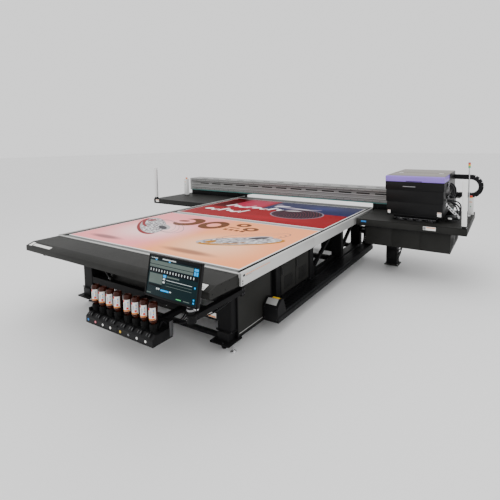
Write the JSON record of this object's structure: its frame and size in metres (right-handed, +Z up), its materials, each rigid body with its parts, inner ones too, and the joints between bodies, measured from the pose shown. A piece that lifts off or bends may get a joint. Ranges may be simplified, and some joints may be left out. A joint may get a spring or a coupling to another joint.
{
  "type": "flatbed uv printer",
  "caption": "Wide flatbed UV printer: suction table on a dark steel frame, travelling gantry with print carriage, service station, ink bottles and touch monitor.",
  "frame": {"origin": "middle of the machine's footprint on the floor", "axes": "+X to the machine's right along the gantry beam, +Y from the operator's side to the back, +Z up"},
  "size_m": [5.56, 4.1818, 1.551],
  "materials": {
    "frame_black": "satin",
    "panel_dark": "fine texture",
    "slab_grey": "matt",
    "print_boards": "printed satin",
    "silver_cover": "satin",
    "beam_silver": "satin",
    "bright_steel": "polished",
    "rail_steel": "ground",
    "chain_black": "matt",
    "hose_black": "satin",
    "moulded_black": "satin",
    "screen_black": "gloss",
    "white_paint": "satin",
    "red_plastic": "gloss",
    "lavender_lid": "satin",
    "wheel_rubber": "satin",
    "bottle_brown": "gloss"
  },
  "bodies": {
    "machine": {"base_frame": "frame_black", "frame_posts": "frame_black", "levelling_feet": "bright_steel", "table_beams": "frame_black", "vacuum_bed": "slab_grey", "media_boards": "print_boards", "edge_covers": "silver_cover", "front_apron": "panel_dark", "apron_supports": "panel_dark", "cover_panels": "panel_dark", "air_hoses": "hose_black", "under_bed_units": "frame_black", "chain_tray": "frame_black", "linear_rails": "rail_steel", "y_chain_lower_run": "chain_black", "ink_tray": "moulded_black", "bottle_sockets": "moulded_black", "valve_manifold": "moulded_black", "monitor_bracket": "frame_black"},
    "y_chain": {"y_chain_loop": "chain_black"},
    "gantry": {"gantry_beam": "beam_silver", "gantry_uprights": "frame_black", "station_deck": "panel_dark", "station_body": "panel_dark", "left_shelf": "panel_dark", "sensor_pillars": "white_paint", "control_boxes": "white_paint", "tower_light": "bright_steel", "y_chain_upper_run": "chain_black", "x_chain_lower_run": "chain_black"},
    "x_chain": {"x_chain_loop": "chain_black"},
    "carriage": {"carriage_body": "moulded_black", "carriage_hoses": "hose_black", "x_chain_upper_run": "chain_black"},
    "lid": {"carriage_lid": "lavender_lid"},
    "heads": {"head_unit": "rail_steel"},
    "caps": {"cap_unit": "rail_steel"},
    "monitor_arm": {"monitor_arm": "frame_black"},
    "monitor": {"monitor": "screen_black"},
    "stop_left": {"stop_button_left": "red_plastic"},
    "stop_right": {"stop_button_right": "red_plastic"},
    "caster_fork_1": {"caster_fork_1": "bright_steel"},
    "caster_wheel_1": {"caster_wheel_1": "wheel_rubber"},
    "caster_fork_2": {"caster_fork_2": "bright_steel"},
    "caster_wheel_2": {"caster_wheel_2": "wheel_rubber"},
    "caster_fork_3": {"caster_fork_3": "bright_steel"},
    "caster_wheel_3": {"caster_wheel_3": "wheel_rubber"},
    "caster_fork_4": {"caster_fork_4": "bright_steel"},
    "caster_wheel_4": {"caster_wheel_4": "wheel_rubber"},
    "bottle_1": {"ink_bottle_1": "bottle_brown"},
    "bottle_2": {"ink_bottle_2": "bottle_brown"},
    "bottle_3": {"ink_bottle_3": "bottle_brown"},
    "bottle_4": {"ink_bottle_4": "bottle_brown"},
    "bottle_5": {"ink_bottle_5": "bottle_brown"},
    "bottle_6": {"ink_bottle_6": "bottle_brown"},
    "bottle_7": {"ink_bottle_7": "bottle_brown"},
    "bottle_8": {"ink_bottle_8": "bottle_brown"},
    "valve_1": {"valve_lever_1": "red_plastic"},
    "valve_2": {"valve_lever_2": "red_plastic"},
    "valve_3": {"valve_lever_3": "red_plastic"}
  },
  "joints": [
    {"name": "gantry_travel", "type": "slide", "parent": "machine", "child": "gantry", "axis": [0, 1, 0], "range_m": [-2.75, 0], "deforming": ["y_chain_lower_run", "y_chain_upper_run"]},
    {"name": "y_chain_roll", "type": "slide", "parent": "machine", "child": "y_chain", "axis": [0, 1, 0], "range_m": [-1.375, 0]},
    {"name": "carriage_travel", "type": "slide", "parent": "gantry", "child": "carriage", "axis": [1, 0, 0], "range_m": [-4, 0], "deforming": ["x_chain_lower_run", "x_chain_upper_run"]},
    {"name": "x_chain_roll", "type": "slide", "parent": "gantry", "child": "x_chain", "axis": [1, 0, 0], "range_m": [-2, 0]},
    {"name": "lid_hinge", "type": "hinge", "parent": "carriage", "child": "lid", "pos_m": [2.02, 1.44088, 1.398], "axis": [-1, 0, 0], "range_deg": [0, 70]},
    {"name": "head_lift", "type": "slide", "parent": "carriage", "child": "heads", "axis": [0, 0, 1], "range_m": [0, 0.06]},
    {"name": "cap_lift", "type": "slide", "parent": "gantry", "child": "caps", "axis": [0, 0, 1], "range_m": [0, 0.018]},
    {"name": "monitor_swivel", "type": "hinge", "parent": "machine", "child": "monitor_arm", "pos_m": [1.11, -1.97912, 0.61], "axis": [0, 0, 1], "range_deg": [-9, 25]},
    {"name": "monitor_tilt", "type": "hinge", "parent": "monitor_arm", "child": "monitor", "pos_m": [1.11, -1.98712, 0.812], "axis": [1, 0, 0], "range_deg": [-12, 4]},
    {"name": "stop_left_press", "type": "slide", "parent": "gantry", "child": "stop_left", "axis": [0, 0, 1], "range_m": [-0.006, 0], "stiffness_N_per_m": 900, "springref_m": 0.001},
    {"name": "stop_right_press", "type": "slide", "parent": "gantry", "child": "stop_right", "axis": [0, 0, 1], "range_m": [-0.006, 0], "stiffness_N_per_m": 900, "springref_m": 0.001},
    {"name": "caster_swivel_1", "type": "hinge", "parent": "machine", "child": "caster_fork_1", "pos_m": [-1.065, -1.42912, 0.08], "axis": [0, 0, 1], "continuous": true},
    {"name": "caster_roll_1", "type": "hinge", "parent": "caster_fork_1", "child": "caster_wheel_1", "pos_m": [-1.065, -1.40912, 0.038], "axis": [1, 0, 0], "continuous": true},
    {"name": "caster_swivel_2", "type": "hinge", "parent": "machine", "child": "caster_fork_2", "pos_m": [0.905, -1.42912, 0.08], "axis": [0, 0, 1], "continuous": true},
    {"name": "caster_roll_2", "type": "hinge", "parent": "caster_fork_2", "child": "caster_wheel_2", "pos_m": [0.905, -1.40912, 0.038], "axis": [1, 0, 0], "continuous": true},
    {"name": "caster_swivel_3", "type": "hinge", "parent": "machine", "child": "caster_fork_3", "pos_m": [-1.065, 1.77088, 0.08], "axis": [0, 0, 1], "continuous": true},
    {"name": "caster_roll_3", "type": "hinge", "parent": "caster_fork_3", "child": "caster_wheel_3", "pos_m": [-1.065, 1.79088, 0.038], "axis": [1, 0, 0], "continuous": true},
    {"name": "caster_swivel_4", "type": "hinge", "parent": "machine", "child": "caster_fork_4", "pos_m": [0.905, 1.77088, 0.08], "axis": [0, 0, 1], "continuous": true},
    {"name": "caster_roll_4", "type": "hinge", "parent": "caster_fork_4", "child": "caster_wheel_4", "pos_m": [0.905, 1.79088, 0.038], "axis": [1, 0, 0], "continuous": true},
    {"name": "bottle_lift_1", "type": "slide", "parent": "machine", "child": "bottle_1", "axis": [0, 0, 1], "range_m": [0, 0.12]},
    {"name": "bottle_lift_2", "type": "slide", "parent": "machine", "child": "bottle_2", "axis": [0, 0, 1], "range_m": [0, 0.12]},
    {"name": "bottle_lift_3", "type": "slide", "parent": "machine", "child": "bottle_3", "axis": [0, 0, 1], "range_m": [0, 0.12]},
    {"name": "bottle_lift_4", "type": "slide", "parent": "machine", "child": "bottle_4", "axis": [0, 0, 1], "range_m": [0, 0.12]},
    {"name": "bottle_lift_5", "type": "slide", "parent": "machine", "child": "bottle_5", "axis": [0, 0, 1], "range_m": [0, 0.12]},
    {"name": "bottle_lift_6", "type": "slide", "parent": "machine", "child": "bottle_6", "axis": [0, 0, 1], "range_m": [0, 0.12]},
    {"name": "bottle_lift_7", "type": "slide", "parent": "machine", "child": "bottle_7", "axis": [0, 0, 1], "range_m": [0, 0.12]},
    {"name": "bottle_lift_8", "type": "slide", "parent": "machine", "child": "bottle_8", "axis": [0, 0, 1], "range_m": [0, 0.12]},
    {"name": "valve_turn_1", "type": "hinge", "parent": "machine", "child": "valve_1", "pos_m": [-0.2, -1.60112, 0.56], "axis": [0, 1, 0], "range_deg": [0, 90]},
    {"name": "valve_turn_2", "type": "hinge", "parent": "machine", "child": "valve_2", "pos_m": [-0.06, -1.60112, 0.56], "axis": [0, 1, 0], "range_deg": [0, 90]},
    {"name": "valve_turn_3", "type": "hinge", "parent": "machine", "child": "valve_3", "pos_m": [0.08, -1.60112, 0.56], "axis": [0, 1, 0], "range_deg": [0, 90]}
  ],
  "couplings": [
    {"joint": "y_chain_roll", "follows": "gantry_travel", "ratio": 0.5},
    {"joint": "x_chain_roll", "follows": "carriage_travel", "ratio": 0.5}
  ]
}
